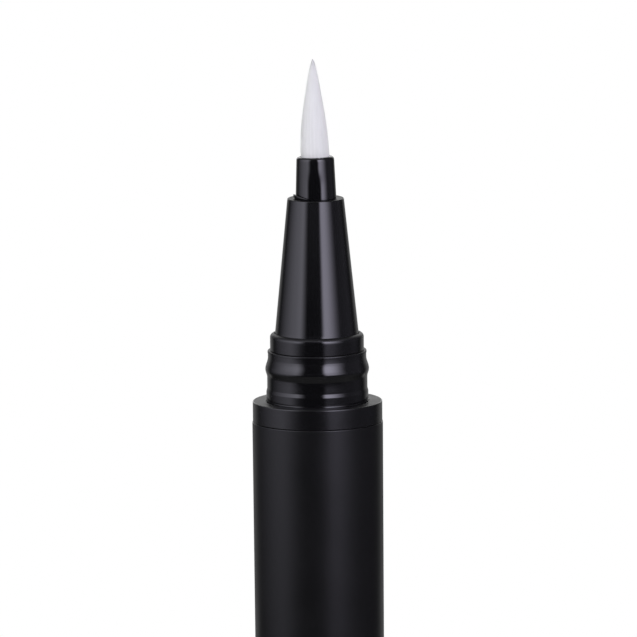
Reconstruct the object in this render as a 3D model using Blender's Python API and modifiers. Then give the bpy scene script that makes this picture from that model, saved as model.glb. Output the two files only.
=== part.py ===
"""Lash adhesive pen with its cap off, standing on its tail with the brush up.

Everything is turned around the pen's axis, which is Z. The base is at the origin.
The radial sizes build outwards from the brush, wall by wall. The heights build
upwards from the tail to the brush, and downwards from the cone into the tank.
"""

import math

import bmesh
import bpy
from mathutils import Vector

MM = 0.001

# Fits
SLIP = 0.05 * MM  # radial clearance of one turned piece inside another
SEAM = 0.06 * MM  # parting line between two faces that meet
CREVICE = 0.07 * MM  # radial gap around the cone's foot, wide enough to show dark

# Brush
BRUSH_DIAMETER = 2.416 * MM
BRUSH_LENGTH = 8.29 * MM
BRUSH_SET_BACK = 0.12 * MM  # depth of the backing below the tip holder's mouth
BRUSH_BACKING = 0.5 * MM
BRUSH_GATHER = 0.6  # how far the strands follow the brush's outline inwards
STRAND_DIAMETER = 0.1 * MM
STRAND_GAP = 0.024 * MM
STRAND_ROOTING = 0.1 * MM  # depth of each strand in the backing
STRAND_SIDES = 3
STRAND_BENDS = (0.45, 0.75, 0.9)  # shares of the brush's length
OUTLINE_POWER = 0.9  # below 1, the brush's point is a little blunter than a sine arch

# Brush root and its clamp
ROOT_WALL = 0.36 * MM
ROOT_FLANGE_STEP = 0.45 * MM
ROOT_FLANGE_HEIGHT = 0.6 * MM
ROOT_SOCKET_DEPTH = 3.0 * MM
CLAMP_HEIGHT = 0.8 * MM
CLAMP_CHAMFER = 0.12 * MM

# Tip holder
HOLDER_WALL = 0.455 * MM
HOLDER_DRAFT = 0.134 * MM  # the radius that it loses from the cone to its mouth
HOLDER_REACH = 3.68 * MM  # what stands out of the cone
HOLDER_SHANK = 4.5 * MM  # what the cone holds
HOLDER_FLANGE_STEP = 0.39 * MM
HOLDER_FLANGE_HEIGHT = 0.8 * MM
HOLDER_EDGE_RADIUS = 0.14 * MM

# Front cone
CONE_RIM_WALL = 0.615 * MM
CONE_LENGTH = 11.46 * MM  # from the ring's top to the cone's rim
CONE_EDGE_RADIUS = 0.12 * MM
CONE_SPIGOT_WALL = 0.45 * MM
CONE_SPIGOT_LENGTH = 6.0 * MM

# Collector holder, whose flange is the ring around the cone's foot
SLEEVE_WALL = 0.45 * MM
RING_RIM_WALL = 0.347 * MM
RING_HEIGHT = 1.29 * MM
RING_RECESS_DEPTH = 0.65 * MM
RING_EDGE_RADIUS = 0.16 * MM

# Neck sleeve
NECK_WALL = 0.8 * MM
NECK_SEAT_STEP = 0.268 * MM  # from the spigot's radius out to the neck's
NECK_SPIGOT_LENGTH = 7.5 * MM
BEAD_RISE = 0.074 * MM
BEAD_HEIGHT = 0.89 * MM
BEAD_SLOPE = 0.29 * MM
NECK_GRIP = 0.94 * MM  # plain stretch between the bead and the rib
RIB_RISE = 0.146 * MM
RIB_FOOT = 0.68 * MM  # from the rib's lower edge to its crest
RIB_SHOULDER = 0.86 * MM  # from its crest to its upper edge
RIB_STEPS = 4
NECK_UPPER_STEP = 0.078 * MM  # the neck is thinner above the rib than below it
NECK_UPPER_HEIGHT = 0.5 * MM
LIP_RISE = 0.026 * MM
LIP_HEIGHT = 0.2 * MM
RING_STEP = 0.219 * MM  # from the ring's radius out to the lip's

# Collar ring
SHOULDER_WIDTH = 1.235 * MM  # from the neck's radius out to the collar's
COLLAR_HEIGHT = 1.69 * MM
COLLAR_EDGE_RADIUS = 0.09 * MM
COLLAR_SEAT_DEPTH = 0.12 * MM  # recess in its top that the neck's foot stands in

# Barrel
COLLAR_STEP = 0.047 * MM  # the barrel is this much larger in radius than the collar
BARREL_LENGTH = 86.0 * MM
BARREL_DRAFT = 0.3 * MM  # the radius that it loses from the collar to the tail
BARREL_EDGE_RADIUS = 0.12 * MM
TANK_STEP = 0.2 * MM  # ledge in the bore that the neck's spigot seats on

# Seals
SEAL_SECTION = 0.44 * MM
SEAL_LAND = 1.9 * MM  # from the spigot's end to its groove
COLLECTOR_SEAL_HEIGHT = 0.8 * MM

# Liquid collector
COLLECTOR_LENGTH = 17.5 * MM
COLLECTOR_CORE_WALL = 0.5 * MM
COLLECTOR_END = 1.2 * MM
COLLECTOR_FIN = 0.6 * MM
COLLECTOR_FIN_PITCH = 1.6 * MM
COLLECTOR_SLOT = 0.4 * MM

# Tank stopper and relay core
STOPPER_PLUG_LENGTH = 1.6 * MM
STOPPER_FLANGE_HEIGHT = 0.8 * MM
CORE_DIP = 5.0 * MM  # how far the relay core reaches into the tank
CORE_CHAMFER = 0.15 * MM

# Tail plug
TAIL_HEAD_HEIGHT = 2.0 * MM
TAIL_EDGE_RADIUS = 0.45 * MM
TAIL_STEM_LENGTH = 6.0 * MM
TAIL_WALL = 0.9 * MM
TAIL_FLOOR = 1.2 * MM  # thickness of the plug's end wall

# Mixing ball
BALL_DIAMETER = 3.5 * MM

# Fineness of the turned shapes
SIDES_OUTSIDE = 40
SIDES_INSIDE = 28
SIDES_COLLECTOR = 20
SIDES_SMALL = 20
SEAL_SECTION_SIDES = 6
ARC_STEPS = 2
MERGE = 0.001 * MM

# Radii, from the brush outwards
brush_radius = BRUSH_DIAMETER / 2
socket_radius = brush_radius - ROOT_WALL
core_radius = socket_radius - SLIP
core_bore_radius = core_radius + SLIP
root_flange_radius = brush_radius + ROOT_FLANGE_STEP
holder_bore_radius = brush_radius + SLIP
holder_radius = holder_bore_radius + HOLDER_WALL
holder_mouth_radius = holder_radius - HOLDER_DRAFT
holder_flange_radius = holder_radius + HOLDER_FLANGE_STEP
cone_mouth_radius = holder_radius + SLIP
cone_rim_radius = cone_mouth_radius + CONE_RIM_WALL
cone_bore_radius = holder_flange_radius + SLIP
cone_spigot_radius = cone_bore_radius + CONE_SPIGOT_WALL
sleeve_bore_radius = cone_spigot_radius + SLIP
sleeve_radius = sleeve_bore_radius + SLEEVE_WALL
neck_bore_radius = sleeve_radius + SLIP
spigot_radius = neck_bore_radius + NECK_WALL
neck_radius = spigot_radius + NECK_SEAT_STEP
bead_radius = neck_radius + BEAD_RISE
rib_radius = neck_radius + RIB_RISE
neck_upper_radius = neck_radius - NECK_UPPER_STEP
lip_radius = neck_upper_radius + LIP_RISE
ring_radius = lip_radius - RING_STEP
ring_recess_radius = ring_radius - RING_RIM_WALL
cone_foot_radius = ring_recess_radius - CREVICE
collar_bore_radius = spigot_radius + SLIP
collar_radius = neck_radius + SHOULDER_WIDTH
collar_seat_radius = rib_radius + SLIP  # so that nothing overhangs the collar's top face
barrel_radius = collar_radius + COLLAR_STEP
tail_radius = barrel_radius - BARREL_DRAFT
mouth_radius = spigot_radius + SLIP
tank_radius = mouth_radius - TANK_STEP
stem_radius = tank_radius - SLIP
seal_radius = SEAL_SECTION / 2
groove_depth = SEAL_SECTION
groove_height = SEAL_SECTION + 2 * SEAM
ball_radius = BALL_DIAMETER / 2

# Heights, from the tail up to the brush
barrel_foot = TAIL_HEAD_HEIGHT + SEAM
barrel_top = barrel_foot + BARREL_LENGTH
collar_foot = barrel_top + SEAM
shoulder = collar_foot + COLLAR_HEIGHT
collar_seat = shoulder - COLLAR_SEAT_DEPTH
neck_foot = collar_seat + SEAM
bead_top = neck_foot + BEAD_HEIGHT
grip_foot = bead_top + BEAD_SLOPE
rib_foot = grip_foot + NECK_GRIP
rib_crest = rib_foot + RIB_FOOT
rib_top = rib_crest + RIB_SHOULDER
lip_foot = rib_top + NECK_UPPER_HEIGHT
neck_top = lip_foot + LIP_HEIGHT
ring_foot = neck_top + SEAM
ring_top = ring_foot + RING_HEIGHT
cone_foot = ring_top - RING_RECESS_DEPTH + SEAM
cone_top = ring_top + CONE_LENGTH
holder_flange_top = cone_top - HOLDER_SHANK
holder_foot = holder_flange_top - HOLDER_FLANGE_HEIGHT
holder_mouth = cone_top + HOLDER_REACH

# Heights, from the tip holder down into the tank
backing_top = holder_mouth - BRUSH_SET_BACK
backing_foot = backing_top - BRUSH_BACKING
root_top = backing_foot - SEAM
root_flange_top = holder_foot - SEAM
root_foot = root_flange_top - ROOT_FLANGE_HEIGHT
core_top = root_foot + ROOT_SOCKET_DEPTH - SEAM
clamp_top = root_foot - SEAM
clamp_foot = clamp_top - CLAMP_HEIGHT
cone_spigot_end = cone_foot - CONE_SPIGOT_LENGTH
collector_top = cone_spigot_end - SEAM
collector_foot = collector_top - COLLECTOR_LENGTH
collector_seal_top = collector_foot - SEAM
collector_seal_foot = collector_seal_top - COLLECTOR_SEAL_HEIGHT
stopper_top = collector_seal_foot - SEAM
sleeve_end = stopper_top - STOPPER_PLUG_LENGTH
stopper_flange_top = sleeve_end - SEAM
stopper_foot = stopper_flange_top - STOPPER_FLANGE_HEIGHT
core_foot = stopper_foot - CORE_DIP
spigot_end = shoulder - NECK_SPIGOT_LENGTH
mouth_floor = spigot_end - SEAM
neck_groove_foot = spigot_end + SEAL_LAND
stem_top = TAIL_HEAD_HEIGHT + TAIL_STEM_LENGTH
tail_groove_foot = TAIL_HEAD_HEIGHT + SEAL_LAND
ball_rest = TAIL_FLOOR + SEAM + ball_radius


def new_scene(name):
    """Empty the scene, and return a collection for the pieces and one for the cutters."""
    for old in list(bpy.data.objects):
        bpy.data.objects.remove(old)
    pieces = bpy.data.collections.new(name)
    cutters = bpy.data.collections.new("cutters")
    bpy.context.scene.collection.children.link(pieces)
    bpy.context.scene.collection.children.link(cutters)
    return pieces, cutters


def make_material(name, colour, roughness, metallic=0.0):
    """Principled material with one linear colour."""
    material = bpy.data.materials.new(name)
    material.use_nodes = True
    shader = material.node_tree.nodes["Principled BSDF"]
    shader.inputs["Base Color"].default_value = (*colour, 1.0)
    shader.inputs["Roughness"].default_value = roughness
    shader.inputs["Metallic"].default_value = metallic
    material.diffuse_color = (*colour, 1.0)
    return material


def fillet(before, corner, after, radius):
    """Arc that rounds one corner of an outline, as a list of points."""
    to_before = (before - corner).normalized()
    to_after = (after - corner).normalized()
    half_angle = to_before.angle(to_after) / 2
    centre = corner + (to_before + to_after).normalized() * (radius / math.sin(half_angle))
    start = corner + to_before * (radius / math.tan(half_angle)) - centre
    turn = math.copysign(math.pi - 2 * half_angle, to_before.x * to_after.y - to_before.y * to_after.x)
    points = []
    for step in range(ARC_STEPS + 1):
        angle = -turn * step / ARC_STEPS
        cosine, sine = math.cos(angle), math.sin(angle)
        offset = Vector((start.x * cosine - start.y * sine, start.x * sine + start.y * cosine))
        points.append(centre + offset)
    return points


def rounded(corners, closed):
    """Points of an outline from its corners: (radius, height), or with a third value to round it."""
    places = [Vector(corner[:2]) for corner in corners]
    points = []
    for index, corner in enumerate(corners):
        inner = closed or 0 < index < len(corners) - 1
        if len(corner) == 3 and inner:
            after = places[(index + 1) % len(places)]
            points += fillet(places[index - 1], places[index], after, corner[2])
        else:
            points.append(places[index])
    return points


def finish(obj, pieces, material, parent):
    """Put a new piece in the collection, with its material and its parent."""
    for owner in list(obj.users_collection):
        owner.objects.unlink(obj)
    pieces.objects.link(obj)
    obj.data.materials.append(material)
    obj.parent = parent
    obj.location -= parent.location


def turned(name, seat, corners, sides, closed=True):
    """Solid of revolution. Its origin is at the height seat, and its corners are heights of the pen.

    The outline runs down the outer side and back up the inner one, or from axis to axis.
    """
    points = rounded([(corner[0], corner[1] - seat, *corner[2:]) for corner in corners], closed)
    edges = [(index, index + 1) for index in range(len(points) - 1)]
    if closed:
        edges.append((len(points) - 1, 0))
    mesh = bpy.data.meshes.new(name)
    mesh.from_pydata([(point.x, 0.0, point.y) for point in points], edges, [])
    obj = bpy.data.objects.new(name, mesh)
    bpy.context.scene.collection.objects.link(obj)
    obj.location.z = seat
    screw = obj.modifiers.new("turn", "SCREW")
    screw.axis = "Z"
    screw.angle = math.tau
    screw.steps = sides
    screw.render_steps = sides
    screw.use_merge_vertices = True
    screw.merge_threshold = MERGE
    screw.use_smooth_shade = True
    return obj


def seal_ring(name, groove_foot, groove_radius):
    """Rubber ring in a groove: a torus whose section just fills the groove."""
    height = groove_foot + groove_height / 2
    bpy.ops.mesh.primitive_torus_add(
        location=(0, 0, height),
        major_radius=groove_radius + SLIP / 2 + seal_radius,
        minor_radius=seal_radius,
        major_segments=SIDES_OUTSIDE,
        minor_segments=SEAL_SECTION_SIDES,
    )
    obj = bpy.context.object
    obj.name = name
    obj.data.shade_smooth()
    return obj


def grooved(radius, top, groove_foot, foot):
    """Outer side of a spigot, down from top to foot, with a groove for its seal ring."""
    groove_top = groove_foot + groove_height
    bottom = radius - groove_depth
    return [
        (radius, top),
        (radius, groove_top),
        (bottom, groove_top),
        (bottom, groove_foot),
        (radius, groove_foot),
        (radius, foot),
    ]


def snap_rib():
    """The rib's side from top to foot: a quarter sine rises to the crest from either edge."""
    points = []
    for step in range(RIB_STEPS):
        share = step / RIB_STEPS
        rise = (rib_radius - neck_upper_radius) * math.sin(share * math.pi / 2)
        points.append((neck_upper_radius + rise, rib_top - RIB_SHOULDER * share))
    for step in range(RIB_STEPS + 1):
        share = step / RIB_STEPS
        rise = RIB_RISE * math.cos(share * math.pi / 2)
        points.append((neck_radius + rise, rib_crest - RIB_FOOT * share))
    return points


def brush_outline(height):
    """Share of the brush's radius that its outline keeps at a height above the holder's mouth."""
    left = max(0.0, 1.0 - height / BRUSH_LENGTH)
    return math.sin(math.pi / 2 * left**OUTLINE_POWER)


def gather(height):
    """Share of its distance from the axis that each strand keeps: straight between the bends."""
    levels = [-BRUSH_SET_BACK] + [share * BRUSH_LENGTH for share in STRAND_BENDS] + [BRUSH_LENGTH]
    kept = [1.0 - BRUSH_GATHER * (1.0 - brush_outline(level)) for level in levels]
    for index in range(1, len(levels)):
        if height <= levels[index] or index == len(levels) - 1:
            share = (height - levels[index - 1]) / (levels[index] - levels[index - 1])
            return kept[index - 1] + share * (kept[index] - kept[index - 1])


def strand_reach(distance):
    """Height at which a strand, rooted at this distance from the axis, meets the outline."""
    low, high = 0.0, BRUSH_LENGTH
    for _ in range(40):
        middle = (low + high) / 2
        if distance * gather(middle) < brush_radius * brush_outline(middle):
            low = middle
        else:
            high = middle
    return low


def strand_feet():
    """Places of the strands on a triangular lattice inside the brush's circle."""
    spacing = STRAND_DIAMETER + STRAND_GAP
    row_height = spacing * math.sqrt(3) / 2
    widest = brush_radius - STRAND_DIAMETER / 2
    rows = int(widest / row_height)
    feet = []
    for row in range(-rows, rows + 1):
        shift = spacing / 2 if row % 2 else 0.0
        columns = int(widest / spacing) + 1
        for column in range(-columns, columns + 1):
            x, y = column * spacing + shift, row * row_height
            if math.hypot(x, y) <= widest:
                feet.append((x, y))
    return feet


def add_strand(mesh, x, y):
    """One three-sided strand, from its root in the backing to its point on the outline."""
    reach = strand_reach(math.hypot(x, y))
    shortest = STRAND_DIAMETER
    foot = -BRUSH_SET_BACK - STRAND_ROOTING
    bends = [share * BRUSH_LENGTH for share in STRAND_BENDS]
    levels = [foot] + [level for level in bends if level < reach - shortest]
    rings = []
    for level in levels:
        kept = gather(max(level, -BRUSH_SET_BACK))
        thickness = STRAND_DIAMETER / 2 * kept * (1.0 - max(level, 0.0) ** 2 / reach**2)
        ring = []
        for side in range(STRAND_SIDES):
            angle = math.tau * side / STRAND_SIDES
            place = (x * kept + thickness * math.cos(angle), y * kept + thickness * math.sin(angle), level)
            ring.append(mesh.verts.new(place))
        rings.append(ring)
    kept = gather(reach)
    point = mesh.verts.new((x * kept, y * kept, reach))
    mesh.faces.new(reversed(rings[0]))
    for lower, upper in zip(rings, rings[1:]):
        for side in range(STRAND_SIDES):
            after = (side + 1) % STRAND_SIDES
            mesh.faces.new((lower[side], lower[after], upper[after], upper[side]))
    for side in range(STRAND_SIDES):
        mesh.faces.new((rings[-1][side], rings[-1][(side + 1) % STRAND_SIDES], point))


def make_brush_tip():
    """Filaments fused to a slice of their backing. The origin is where the brush bends."""
    backing = turned(
        "brush_tip",
        holder_mouth,
        [(0, backing_top), (brush_radius, backing_top), (brush_radius, backing_foot), (0, backing_foot)],
        SIDES_SMALL,
        closed=False,
    )
    mesh = bmesh.new()
    for x, y in strand_feet():
        add_strand(mesh, x, y)
    strands = bpy.data.meshes.new("strands")
    mesh.to_mesh(strands)
    mesh.free()
    cutter = bpy.data.objects.new("strands", strands)
    cutter.location = backing.location
    union = backing.modifiers.new("strands", "BOOLEAN")
    union.operation = "UNION"
    union.solver = "EXACT"
    union.object = cutter
    return backing, cutter


def make_brush_root():
    """Fused butt of the filaments, with a flange, and a socket for the relay core."""
    socket_top = root_foot + ROOT_SOCKET_DEPTH
    return turned(
        "brush_root",
        root_foot,
        [
            (0, root_top),
            (brush_radius, root_top),
            (brush_radius, root_flange_top),
            (root_flange_radius, root_flange_top),
            (root_flange_radius, root_foot),
            (socket_radius, root_foot),
            (socket_radius, socket_top),
            (0, socket_top),
        ],
        SIDES_SMALL,
        closed=False,
    )


def make_brush_clamp():
    """Ring pressed into the cone under the brush root's flange."""
    return turned(
        "brush_clamp",
        clamp_foot,
        [
            (holder_flange_radius - CLAMP_CHAMFER, clamp_top),
            (holder_flange_radius, clamp_top - CLAMP_CHAMFER),
            (holder_flange_radius, clamp_foot + CLAMP_CHAMFER),
            (holder_flange_radius - CLAMP_CHAMFER, clamp_foot),
            (core_bore_radius, clamp_foot),
            (core_bore_radius, clamp_top),
        ],
        SIDES_SMALL,
    )


def make_tip_holder():
    """Slightly tapered tube that the brush stands in, with a flange inside the cone."""
    edge = min(HOLDER_EDGE_RADIUS, (holder_mouth_radius - holder_bore_radius) / 2)
    return turned(
        "tip_holder",
        holder_foot,
        [
            (holder_mouth_radius, holder_mouth, edge),
            (holder_radius, cone_top),
            (holder_radius, holder_flange_top),
            (holder_flange_radius, holder_flange_top),
            (holder_flange_radius, holder_foot),
            (holder_bore_radius, holder_foot),
            (holder_bore_radius, holder_mouth),
        ],
        SIDES_INSIDE,
    )


def make_front_cone():
    """Cone with a spigot below. Its bore steps in to stop the tip holder's flange."""
    holder_stop = holder_flange_top + SEAM
    return turned(
        "front_cone",
        cone_foot,
        [
            (cone_rim_radius, cone_top, CONE_EDGE_RADIUS),
            (cone_foot_radius, ring_top),
            (cone_foot_radius, cone_foot),
            (cone_spigot_radius, cone_foot),
            (cone_spigot_radius, cone_spigot_end),
            (cone_bore_radius, cone_spigot_end),
            (cone_bore_radius, holder_stop),
            (cone_mouth_radius, holder_stop),
            (cone_mouth_radius, cone_top),
        ],
        SIDES_OUTSIDE,
    )


def make_collector_holder():
    """Long sleeve through the neck. Its flange is the ring that the cone's foot stands in."""
    recess_floor = ring_top - RING_RECESS_DEPTH
    edge = min(RING_EDGE_RADIUS, RING_RIM_WALL / 2)
    return turned(
        "collector_holder",
        ring_foot,
        [
            (ring_radius, ring_top, edge),
            (ring_radius, ring_foot),
            (sleeve_radius, ring_foot),
            (sleeve_radius, sleeve_end),
            (sleeve_bore_radius, sleeve_end),
            (sleeve_bore_radius, recess_floor),
            (ring_recess_radius, recess_floor),
            (ring_recess_radius, ring_top, edge / 2),
        ],
        SIDES_OUTSIDE,
    )


def make_neck_sleeve():
    """Neck with a lip, the rib that snaps into the cap, a foot bead, and a grooved spigot."""
    spigot = grooved(spigot_radius, neck_foot, neck_groove_foot, spigot_end)
    return turned(
        "neck_sleeve",
        neck_foot,
        [
            (lip_radius, neck_top),
            (lip_radius, lip_foot),
            (neck_upper_radius, lip_foot),
            *snap_rib(),
            (neck_radius, grip_foot),
            (bead_radius, bead_top),
            (bead_radius, neck_foot),
            *spigot,
            (neck_bore_radius, spigot_end),
            (neck_bore_radius, neck_top),
        ],
        SIDES_OUTSIDE,
    )


def make_collar_ring():
    """Ring between the neck and the barrel. The neck stands in a recess in its top face.

    The cap's edge meets the rest of that face.
    """
    return turned(
        "collar_ring",
        collar_foot,
        [
            (collar_radius, shoulder, COLLAR_EDGE_RADIUS),
            (collar_radius, collar_foot, COLLAR_EDGE_RADIUS / 2),
            (collar_bore_radius, collar_foot),
            (collar_bore_radius, collar_seat),
            (collar_seat_radius, collar_seat),
            (collar_seat_radius, shoulder),
        ],
        SIDES_OUTSIDE,
    )


def make_barrel():
    """Tapered tube. Its bore is the tank, with a wider mouth for the neck's spigot."""
    return turned(
        "barrel",
        barrel_foot,
        [
            (barrel_radius, barrel_top, BARREL_EDGE_RADIUS),
            (tail_radius, barrel_foot, BARREL_EDGE_RADIUS / 2),
            (tank_radius, barrel_foot),
            (tank_radius, mouth_floor),
            (mouth_radius, mouth_floor),
            (mouth_radius, barrel_top),
        ],
        SIDES_OUTSIDE,
    )


def make_tail_plug():
    """Cup-shaped plug with a head that ends the barrel, and a groove for its seal ring."""
    cup_radius = stem_radius - TAIL_WALL
    return turned(
        "tail_plug",
        0.0,
        [
            (0, TAIL_FLOOR),
            (cup_radius, TAIL_FLOOR),
            (cup_radius, stem_top),
            *grooved(stem_radius, stem_top, tail_groove_foot, TAIL_HEAD_HEIGHT),
            (tail_radius, TAIL_HEAD_HEIGHT, BARREL_EDGE_RADIUS / 2),
            (tail_radius, 0.0, TAIL_EDGE_RADIUS),
            (0, 0.0),
        ],
        SIDES_OUTSIDE,
        closed=False,
    )


def make_relay_core():
    """Fibre rod from the brush root's socket into the tank."""
    return turned(
        "relay_core",
        core_foot,
        [
            (0, core_top),
            (core_radius - CORE_CHAMFER, core_top),
            (core_radius, core_top - CORE_CHAMFER),
            (core_radius, core_foot + CORE_CHAMFER),
            (core_radius - CORE_CHAMFER, core_foot),
            (0, core_foot),
        ],
        SIDES_SMALL,
        closed=False,
    )


def collector_side():
    """Outer side of the collector, down from its top end, fin by fin."""
    fin_root = core_bore_radius + COLLECTOR_CORE_WALL
    radius = sleeve_bore_radius - SLIP
    finned = COLLECTOR_LENGTH - 2 * COLLECTOR_END
    fins = int((finned - COLLECTOR_FIN_PITCH) / COLLECTOR_FIN_PITCH)
    pitch = finned / (fins + 1)
    side = [(radius, collector_top), (radius, collector_top - COLLECTOR_END)]
    for fin in range(fins):
        top = collector_top - COLLECTOR_END - (fin + 1) * pitch + COLLECTOR_FIN / 2
        foot = top - COLLECTOR_FIN
        above = side[-1][1]
        side += [(fin_root, above), (fin_root, top), (radius, top), (radius, foot)]
    side += [(fin_root, side[-1][1]), (fin_root, collector_foot + COLLECTOR_END)]
    side += [(radius, collector_foot + COLLECTOR_END), (radius, collector_foot)]
    return side


def make_liquid_collector():
    """Comb of fins around a tube, with one feed slot cut down all its fins."""
    collector = turned(
        "liquid_collector",
        collector_foot,
        [*collector_side(), (core_bore_radius, collector_foot), (core_bore_radius, collector_top)],
        SIDES_COLLECTOR,
    )
    fin_root = core_bore_radius + COLLECTOR_CORE_WALL
    slot_floor = fin_root - COLLECTOR_CORE_WALL / 4
    slot_depth = sleeve_bore_radius - slot_floor
    slot_length = COLLECTOR_LENGTH + 2 * COLLECTOR_END
    middle = (collector_top + collector_foot) / 2
    bpy.ops.mesh.primitive_cube_add(size=1, location=(0, -slot_floor - slot_depth / 2, middle))
    cutter = bpy.context.object
    cutter.name = "feed_slot"
    cutter.scale = (COLLECTOR_SLOT, slot_depth, slot_length)
    cut = collector.modifiers.new("feed slot", "BOOLEAN")
    cut.operation = "DIFFERENCE"
    cut.solver = "EXACT"
    cut.object = cutter
    return collector, cutter


def make_collector_seal():
    """Gasket between the collector and the stopper."""
    radius = sleeve_bore_radius - SLIP
    return turned(
        "collector_seal",
        collector_seal_foot,
        [
            (radius, collector_seal_top),
            (radius, collector_seal_foot),
            (core_bore_radius, collector_seal_foot),
            (core_bore_radius, collector_seal_top),
        ],
        SIDES_COLLECTOR,
    )


def make_tank_stopper():
    """Plug in the end of the collector holder, with a flange against its end."""
    return turned(
        "tank_stopper",
        stopper_foot,
        [
            (sleeve_bore_radius - SLIP, stopper_top),
            (sleeve_bore_radius - SLIP, stopper_flange_top),
            (sleeve_radius, stopper_flange_top),
            (sleeve_radius, stopper_foot),
            (core_bore_radius, stopper_foot),
            (core_bore_radius, stopper_top),
        ],
        SIDES_INSIDE,
    )


def make_mixing_ball():
    """Steel ball on the tail plug's floor. Its origin is its centre."""
    bpy.ops.mesh.primitive_uv_sphere_add(
        segments=SIDES_SMALL,
        ring_count=SIDES_SMALL // 2,
        radius=ball_radius,
        location=(0, 0, ball_rest),
    )
    ball = bpy.context.object
    ball.name = "mixing_ball"
    ball.data.shade_smooth()
    return ball


def add_empty(name, height, pieces):
    """Empty on the pen's axis, for pieces to be parented to."""
    empty = bpy.data.objects.new(name, None)
    empty.location.z = height
    empty.empty_display_size = barrel_radius
    pieces.objects.link(empty)
    return empty


def keep_cutter(cutter, cutters):
    """Keep a cutter out of the model: in its own collection, as wire, and not rendered."""
    for owner in list(cutter.users_collection):
        owner.objects.unlink(cutter)
    cutters.objects.link(cutter)
    cutter.hide_render = True
    cutter.display_type = "WIRE"


def main():
    pieces, cutters = new_scene("lash_adhesive_pen")
    pen = add_empty("pen", 0.0, pieces)
    brush_bend = add_empty("brush_bend", holder_mouth, pieces)

    glossy = make_material("glossy_black_plastic", (0.006, 0.006, 0.007), 0.1)
    satin = make_material("satin_black_plastic", (0.009, 0.009, 0.010), 0.38)
    white = make_material("white_filament", (0.66, 0.65, 0.68), 0.5)
    fused = make_material("fused_filament", (0.6, 0.58, 0.56), 0.6)
    natural = make_material("natural_plastic", (0.7, 0.7, 0.68), 0.4)
    fibre = make_material("pressed_fibre", (0.75, 0.73, 0.7), 0.9)
    rubber = make_material("black_rubber", (0.02, 0.02, 0.02), 0.7)
    steel = make_material("polished_steel", (0.6, 0.6, 0.6), 0.15, metallic=1.0)

    brush_tip, strands = make_brush_tip()
    collector, feed_slot = make_liquid_collector()
    neck_groove_radius = spigot_radius - groove_depth
    tail_groove_radius = stem_radius - groove_depth
    keep_cutter(strands, cutters)
    keep_cutter(feed_slot, cutters)

    finish(brush_tip, pieces, white, brush_bend)
    finish(make_brush_root(), pieces, fused, pen)
    finish(make_brush_clamp(), pieces, natural, pen)
    finish(make_tip_holder(), pieces, glossy, pen)
    finish(make_front_cone(), pieces, glossy, pen)
    finish(make_collector_holder(), pieces, glossy, pen)
    finish(make_neck_sleeve(), pieces, glossy, pen)
    finish(make_collar_ring(), pieces, satin, pen)
    finish(make_barrel(), pieces, satin, pen)
    finish(make_tail_plug(), pieces, satin, pen)
    finish(make_relay_core(), pieces, fibre, pen)
    finish(collector, pieces, natural, pen)
    finish(make_collector_seal(), pieces, rubber, pen)
    finish(make_tank_stopper(), pieces, natural, pen)
    finish(seal_ring("neck_seal", neck_groove_foot, neck_groove_radius), pieces, rubber, pen)
    finish(seal_ring("tail_seal", tail_groove_foot, tail_groove_radius), pieces, rubber, pen)
    finish(make_mixing_ball(), pieces, steel, pen)


main()
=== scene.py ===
"""Finish of an uncapped lash adhesive pen: its turned plastic pieces, its brush, and the studio.

The pieces that show are surfaces of revolution around the pen's axis, which is Z, apart from
the brush's filaments and one scrap of moulding flash. Each is built over the node that it
replaces, from that node's box; the flash replaces none. The pieces inside keep their solids,
and get materials. Lengths are metres, and the azimuths of the lights are degrees.
"""

import math
import bpy
import numpy as np
from bpy.props import FloatProperty, IntProperty, PointerProperty, StringProperty
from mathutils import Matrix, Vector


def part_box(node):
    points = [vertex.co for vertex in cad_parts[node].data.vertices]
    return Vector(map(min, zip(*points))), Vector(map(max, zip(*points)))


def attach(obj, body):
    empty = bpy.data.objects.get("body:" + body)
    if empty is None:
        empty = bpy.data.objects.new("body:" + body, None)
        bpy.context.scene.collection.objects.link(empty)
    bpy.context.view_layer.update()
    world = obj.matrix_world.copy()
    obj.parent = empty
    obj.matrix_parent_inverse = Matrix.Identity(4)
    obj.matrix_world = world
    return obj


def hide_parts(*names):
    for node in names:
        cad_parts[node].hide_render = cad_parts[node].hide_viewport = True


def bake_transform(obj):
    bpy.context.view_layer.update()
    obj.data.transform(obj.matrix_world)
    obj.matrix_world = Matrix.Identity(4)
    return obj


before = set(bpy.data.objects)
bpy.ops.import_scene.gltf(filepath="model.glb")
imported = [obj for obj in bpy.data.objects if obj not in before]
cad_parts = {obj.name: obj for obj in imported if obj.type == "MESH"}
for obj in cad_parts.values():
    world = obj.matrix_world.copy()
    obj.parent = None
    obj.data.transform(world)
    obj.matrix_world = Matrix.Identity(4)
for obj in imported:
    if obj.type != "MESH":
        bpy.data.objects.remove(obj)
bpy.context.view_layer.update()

bl_info = {
    "name": "Lash adhesive pen",
    "version": (1, 0, 0),
    "blender": (4, 5, 0),
    "location": "View3D > Sidebar > Lash pen",
    "description": "Builds the finished surfaces of an uncapped lash adhesive pen, and a studio for it",
    "category": "Add Mesh",
}

MM = 0.001
SEAM = 0.06 * MM  # gap between pieces that meet end to end inside the pen
HAIRLINE = 0.02 * MM  # the same gap where the joint shows
SLIP = 0.05 * MM  # gap between a piece and the bore that it slides into
EDGE = 0.05 * MM  # rounding of an edge that has no size of its own
SHARP = 35  # degrees between two faces, past which their edge stays sharp
WHITE = "#ffffff"


def size(name, description, millimetres):
    """Property for a length of the pen, given in millimetres and kept in metres."""
    return FloatProperty(
        name=name,
        description=description,
        default=millimetres * MM,
        min=0.0,
        precision=5,
        unit="LENGTH",
    )


def angle(name, description, degrees):
    """Property for an angle, given in degrees and kept in radians."""
    return FloatProperty(
        name=name, description=description, default=math.radians(degrees), unit="ROTATION"
    )


def amount(name, description, default):
    """Property for a share or a strength."""
    return FloatProperty(name=name, description=description, default=default)


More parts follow.
